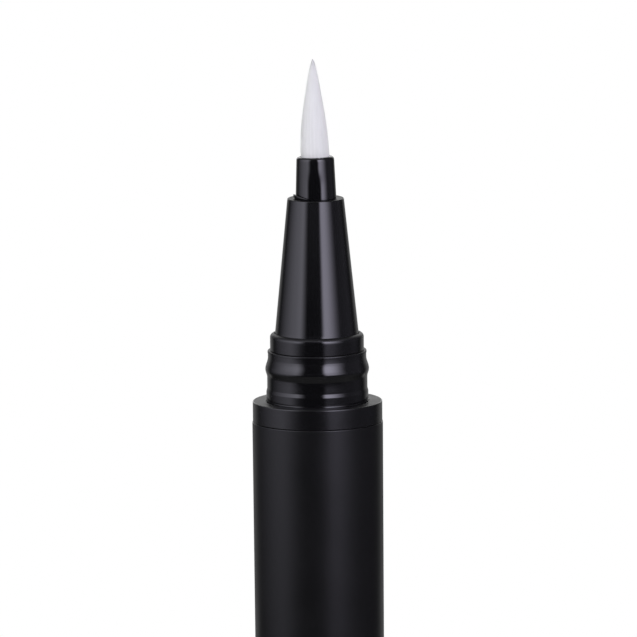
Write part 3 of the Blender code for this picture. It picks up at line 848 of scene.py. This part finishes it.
def packed_core(brush, mouth, root, length, radius, material):
    """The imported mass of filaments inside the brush: its outline turned, a little under them.

    Shallow flutes and faint streaks run up it: its radius and its tone each vary with the turn
    by two sine waves, whose numbers of waves share no factor. It ends just under the point.
    """
    rows, columns = 90, 180
    foot, highest = root - mouth, 0.985 * length
    thinnest = 0.004 * MM
    along = np.linspace(0, 1, rows)[:, None]
    turn = np.linspace(0, 2 * math.pi, columns, endpoint=False)
    height = foot + (highest - foot) * along**0.9  # closer rows towards the point
    outline = brush_outline(np.clip(1 - height / length, 0, 1), brush.blunting)
    flute = 1 + 0.008 * np.sin(23 * turn + 1.0) + 0.006 * np.sin(37 * turn)
    core = np.maximum(radius * outline - brush.core_inset, thinnest) * flute
    side = brush_lean(height, length, brush.lean)
    grid = grid_of(side + core * np.cos(turn), core * np.sin(turn), mouth + height)
    index = numbered(grid)
    faces = quads_between(index[1:], index[:-1], start=1)
    faces += [index[0, ::-1].tolist(), index[-1].tolist()]
    piece = new_piece("brush_core", grid, faces, material)
    streaks = 0.5 + 0.25 * np.sin(23 * turn) + 0.25 * np.sin(41 * turn + 2.0)
    # Streaks, and painted shade that darkens the core towards the point
    set_tone(piece, tone_with_painted_shade(streaks, height, length, brush))
    return piece


class LASHPEN_OT_inner(bpy.types.Operator):
    """Give the pieces inside the pen their materials"""

    bl_idname = "lash_pen.inner"
    bl_label = "Inner pieces"

    def execute(self, context):
        colours = context.scene.lash_pen_colours
        # Uncoloured polypropylene: waxy and milky
        natural = plain_moulding(
            "natural_moulded_polypropylene", colours.natural, 0.4, 1.5 * MM, 0.001 * MM
        )
        # Polyester fibres bonded into a rod: dull, with a fine felted skin
        fibre = plain_moulding("bonded_polyester_fibre", colours.fibre, 0.9, 0.08 * MM, 0.01 * MM)
        # Nylon fused by heat: glassy and a little uneven
        fused = plain_moulding("fused_nylon", colours.filament, 0.45, 0.4 * MM, 0.004 * MM)
        # Nitrile rubber, moulded: dark and dull
        rubber = plain_moulding("moulded_nitrile_rubber", colours.rubber, 0.6, 0.3 * MM, 0.001 * MM)
        # Steel, ground and polished into a ball
        steel = plain_moulding(
            "polished_steel_ball", colours.steel, 0.12, 0.8 * MM, 0.0001 * MM, metallic=1.0
        )
        finishes = {
            natural: ("brush_clamp", "liquid_collector", "tank_stopper"),
            fibre: ("relay_core",),
            fused: ("brush_root",),
            rubber: ("collector_seal", "neck_seal", "tail_seal"),
            steel: ("mixing_ball",),
        }
        for material, nodes in finishes.items():
            for node in nodes:
                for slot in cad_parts[node].material_slots:
                    slot.material = material
        return {"FINISHED"}


class LASHPEN_OT_studio(bpy.types.Operator):
    """Build the paper floor, the softboxes and the backdrop in the world, the fill and the camera"""

    bl_idname = "lash_pen.studio"
    bl_label = "Studio"

    def execute(self, context):
        scene = context.scene
        add_floor(scene)
        add_softboxes(scene)
        add_world(scene)
        add_fill(scene)
        add_camera(scene)
        scene.view_settings.view_transform = "Standard"
        return {"FINISHED"}


def add_floor(scene):
    """Round sheet of pale paper, a hairline under the pen.

    The camera sees it with its shadows, and lighter further out, up to white. The polished
    pieces mirror it dim, and a little lighter in front of the pen than behind it.
    """
    studio = scene.lash_pen_studio
    material, tree = new_material("pale_paper")
    paper = add_node(
        tree,
        "ShaderNodeBsdfPrincipled",
        {"Base Color": linear(scene.lash_pen_colours.floor), "Roughness": 0.9, "IOR": 1.2},
    )
    path = add_node(tree, "ShaderNodeLightPath")
    place = add_node(tree, "ShaderNodeTexCoord").outputs["Object"]
    distance = add_node(tree, "ShaderNodeVectorMath", {0: place}, operation="LENGTH").outputs["Value"]
    sweep = add_node(
        tree,
        "ShaderNodeMapRange",
        {"Value": distance, "From Min": 0.06, "From Max": 0.24, "To Min": 0.22, "To Max": 1.0},
        interpolation_type="SMOOTHSTEP",
    )
    seen = add_node(
        tree,
        "ShaderNodeMath",
        {0: path.outputs["Is Camera Ray"], 1: sweep.outputs[0]},
        operation="MULTIPLY",
    )
    glow = add_node(tree, "ShaderNodeEmission", {"Strength": seen.outputs[0]})
    lift = add_node(tree, "ShaderNodeAddShader", {0: paper.outputs[0], 1: glow.outputs[0]})
    _, off_camera, _ = azimuth_of(tree, place)
    mirrored = add_node(
        tree,
        "ShaderNodeMapRange",
        {"Value": off_camera, "From Min": 75, "From Max": 125, "To Min": 0.19, "To Max": 0.05},
        interpolation_type="SMOOTHSTEP",
    )
    dim = add_node(tree, "ShaderNodeEmission", {"Strength": mirrored.outputs[0]})
    shader = add_node(
        tree,
        "ShaderNodeMixShader",
        {0: path.outputs["Is Glossy Ray"], 1: lift.outputs[0], 2: dim.outputs[0]},
    )
    finish_shader(tree, shader)
    sides, radius = 128, studio.floor_radius
    turn = np.linspace(0, 2 * math.pi, sides, endpoint=False)
    rim = grid_of(radius * np.cos(turn), radius * np.sin(turn), -HAIRLINE)
    new_piece("floor", rim, [list(range(sides))], material)


def window(tree, value, low, low_full, high_full, high):
    """Share of light at a value: it rises from low to low_full, and falls from high_full to high."""
    rise, fall = (
        add_node(
            tree,
            "ShaderNodeMapRange",
            {"Value": value, "From Min": dark, "From Max": full},
            interpolation_type="SMOOTHSTEP",
        ).outputs[0]
        for dark, full in ((low, low_full), (high, high_full))
    )
    return add_node(tree, "ShaderNodeMath", {0: rise, 1: fall}, operation="MULTIPLY").outputs[0]


def softbox(tree, across, upwards, strength, hex_colour):
    """Light of a softbox: a window in azimuth, times one in height, times a colour.

    Across is an azimuth and its window, and upwards is a height or elevation and its window.
    """
    area = add_node(
        tree,
        "ShaderNodeMath",
        {0: window(tree, *across), 1: window(tree, *upwards)},
        operation="MULTIPLY",
    ).outputs[0]
    light = [strength * value for value in linear(hex_colour)[:3]]
    return add_node(tree, "ShaderNodeVectorMath", {0: light, 3: area}, operation="SCALE").outputs[0]


def sum_of(tree, lights):
    """Colour that is the sum of several."""
    total = lights[0]
    for light in lights[1:]:
        total = add_node(tree, "ShaderNodeVectorMath", {0: total, 1: light}, operation="ADD").outputs[0]
    return total


def azimuth_of(tree, direction):
    """Azimuth of a place or direction in degrees, its size without the sign, and the Z.

    Azimuth 0 is towards the camera, 90 is right, and -90 is left.
    """
    axis = add_node(tree, "ShaderNodeSeparateXYZ", {0: direction})
    depth = add_node(tree, "ShaderNodeMath", {0: axis.outputs["Y"], 1: -1.0}, operation="MULTIPLY")
    turn = add_node(
        tree, "ShaderNodeMath", {0: axis.outputs["X"], 1: depth.outputs[0]}, operation="ARCTAN2"
    )
    azimuth = add_node(tree, "ShaderNodeMath", {0: turn.outputs[0]}, operation="DEGREES").outputs[0]
    off_camera = add_node(tree, "ShaderNodeMath", {0: azimuth}, operation="ABSOLUTE").outputs[0]
    return azimuth, off_camera, axis.outputs["Z"]


def add_softboxes(scene):
    """Curved screen around the pen, lit from behind as a softbox on either side.

    The softboxes have a firm inner edge, fade outwards and fade towards the floor. Besides
    them, the screen has a faint strip under the right one, a faint glow in front, a faint box
    far to the right, and a dim one low behind the pen on either side, which the barrel's rims
    mirror. It is clear where it isn't lit, and the camera doesn't see it. Its place at the
    turn a and the height h is (r sin a, -r cos a, h).
    """
    studio, colours = scene.lash_pen_studio, scene.lash_pen_colours
    material, tree = new_material("softbox_cloth")
    place = add_node(tree, "ShaderNodeTexCoord").outputs["Object"]
    azimuth, off_camera, height = azimuth_of(tree, place)
    right, left = studio.right_strength, studio.left_strength
    low_right, high_right = (azimuth, 12, 24, 26, 72), (azimuth, 10, 21, 26, 72)
    outer_left, inner_left = (azimuth, -134, -46, -70, -40), (azimuth, -68, -42, -50, -26)
    top = (0.3, 0.4)
    # Window in azimuth, window in height, strength and colour
    boxes = (
        (low_right, (0.055, 0.098, 0.103, 0.118), right, colours.right_lamp),
        (low_right, (0.052, 0.06, 0.062, 0.069), 0.22, colours.right_lamp),
        (high_right, (0.103, 0.118, *top), right, colours.right_lamp),
        (high_right, (0.12, 0.18, *top), 0.4 * right, colours.right_lamp),
        ((azimuth, -34, -20, 8, 24), (0.106, 0.116, 0.12, 0.13), 0.14, colours.left_lamp),
        ((azimuth, 50, 66, 100, 132), (-0.01, 0.1, *top), 0.17, colours.right_lamp),
        (outer_left, (-0.005, 0.12, *top), left, colours.left_lamp),
        (inner_left, (0.05, 0.105, *top), left, colours.left_lamp),
        ((azimuth, -134, -50, -50, -26), (0.12, 0.18, *top), 0.25 * left, colours.left_lamp),
        ((off_camera, 128, 142, 158, 176), (-0.02, 0.004, 0.018, 0.036), 0.3, WHITE),
    )
    lights = [
        softbox(tree, across, (height, *upwards), strength, hex_colour)
        for across, upwards, strength, hex_colour in boxes
    ]
    glow = add_node(tree, "ShaderNodeEmission", {"Color": sum_of(tree, lights)})
    clear = add_node(tree, "ShaderNodeBsdfTransparent")
    shader = add_node(tree, "ShaderNodeAddShader", {0: glow.outputs[0], 1: clear.outputs[0]})
    finish_shader(tree, shader)
    rows, columns, radius = 9, 96, studio.softbox_distance
    level = np.linspace(0.0, top[1], rows)[:, None]
    turn = np.linspace(0, 2 * math.pi, columns, endpoint=False)
    grid = grid_of(radius * np.sin(turn), -radius * np.cos(turn), level)
    number = numbered(grid)
    faces = quads_between(number[:-1], number[1:])
    screen = new_piece("softboxes", grid, faces, material)
    screen.visible_camera = False
    screen.visible_shadow = False


def add_world(scene):
    """Dim room with a ceiling light, and behind the pen a grey surround with a white backdrop in it.

    The camera itself sees plain white.
    """
    world = bpy.data.worlds.new("studio")
    world.use_nodes = True
    scene.world = world
    tree = world.node_tree
    tree.nodes.clear()
    direction = add_node(tree, "ShaderNodeTexCoord").outputs["Generated"]
    _, off_camera, rise = azimuth_of(tree, direction)
    unbounded = (181, 182)  # past the last azimuth, so that the light has no outer edge
    surround, backdrop = (off_camera, 126, 150, *unbounded), (off_camera, 148, 162, *unbounded)
    all_around = (off_camera, -2, -1, *unbounded)
    lights = [
        softbox(tree, surround, (rise, -0.9, -0.8, 0.5, 0.8), 0.25, WHITE),
        softbox(tree, backdrop, (rise, -0.04, 0.07, 0.5, 0.8), 1.0, WHITE),
        softbox(tree, all_around, (rise, 0.72, 0.88, 1.1, 1.2), 0.4, WHITE),
        linear(scene.lash_pen_colours.room)[:3],
    ]
    lit = add_node(tree, "ShaderNodeBackground", {"Color": sum_of(tree, lights)})
    white = add_node(tree, "ShaderNodeBackground", {"Color": linear(WHITE)})
    seen = add_node(tree, "ShaderNodeLightPath").outputs["Is Camera Ray"]
    choice = add_node(tree, "ShaderNodeMixShader", {0: seen, 1: lit.outputs[0], 2: white.outputs[0]})
    add_node(tree, "ShaderNodeOutputWorld", {"Surface": choice.outputs[0]})


def add_fill(scene):
    """Broad fills, one from the front left and one from behind, which polish doesn't mirror."""
    studio = scene.lash_pen_studio
    # Name, strength, angle from straight down and turn, in degrees
    fills = (
        ("front_fill", studio.fill_strength, 50, -30),
        ("back_fill", studio.back_strength, 60, 180),
    )
    breadth = math.radians(140)
    for name, energy, tilt, turn in fills:
        lamp = bpy.data.lights.new(name, "SUN")
        lamp.energy = energy
        lamp.angle = breadth
        fill = bpy.data.objects.new(name, lamp)
        fill.rotation_euler = (math.radians(tilt), 0.0, math.radians(turn))
        fill.visible_glossy = False
        scene.collection.objects.link(fill)


def add_camera(scene):
    """Long lens at the photograph's height, aimed so that the pen stands where it does there."""
    studio = scene.lash_pen_studio
    camera = bpy.data.objects.new("camera", bpy.data.cameras.new("camera"))
    camera.data.lens = camera.data.sensor_width * studio.distance / studio.frame_width
    camera.data.clip_start = studio.distance / 10
    camera.data.clip_end = studio.distance * 10
    lift = studio.elevation
    aim = levels("collar_ring")[1] + studio.aim_height
    back, up = math.cos(lift) * studio.distance, math.sin(lift) * studio.distance
    camera.location = (studio.aim_side, -back, aim + up)
    camera.rotation_euler = (math.pi / 2 - lift, 0.0, 0.0)
    camera.rotation_euler.rotate_axis("Z", studio.roll)
    scene.collection.objects.link(camera)
    scene.camera = camera


class LASHPEN_PT_sidebar(bpy.types.Panel):
    """Sidebar panel that lists the operators and the sizes"""

    bl_label = "Lash pen"
    bl_idname = "LASHPEN_PT_sidebar"
    bl_space_type = "VIEW_3D"
    bl_region_type = "UI"
    bl_category = "Lash pen"

    def draw(self, context):
        for operator in OPERATORS:
            self.layout.operator(operator.bl_idname)
        for name, group in GROUPS.items():
            box = self.layout.box()
            for prop in group.__annotations__:
                box.prop(getattr(context.scene, name), prop)


GROUPS = {
    "lash_pen_shape": LASHPEN_PG_shape,
    "lash_pen_brush": LASHPEN_PG_brush,
    "lash_pen_colours": LASHPEN_PG_colours,
    "lash_pen_studio": LASHPEN_PG_studio,
}
OPERATORS = (
    LASHPEN_OT_barrel,
    LASHPEN_OT_neck,
    LASHPEN_OT_cone,
    LASHPEN_OT_brush,
    LASHPEN_OT_inner,
    LASHPEN_OT_studio,
)


def register():
    for made in (*GROUPS.values(), *OPERATORS, LASHPEN_PT_sidebar):
        bpy.utils.register_class(made)
    for name, group in GROUPS.items():
        setattr(bpy.types.Scene, name, PointerProperty(type=group))


def unregister():
    for name in GROUPS:
        delattr(bpy.types.Scene, name)
    for made in (LASHPEN_PT_sidebar, *OPERATORS, *GROUPS.values()):
        bpy.utils.unregister_class(made)


def main():
    register()
    bpy.ops.lash_pen.barrel()
    bpy.ops.lash_pen.neck()
    bpy.ops.lash_pen.cone()
    bpy.ops.lash_pen.brush()
    bpy.ops.lash_pen.inner()
    bpy.ops.lash_pen.studio()


if __name__ == "__main__":
    main()
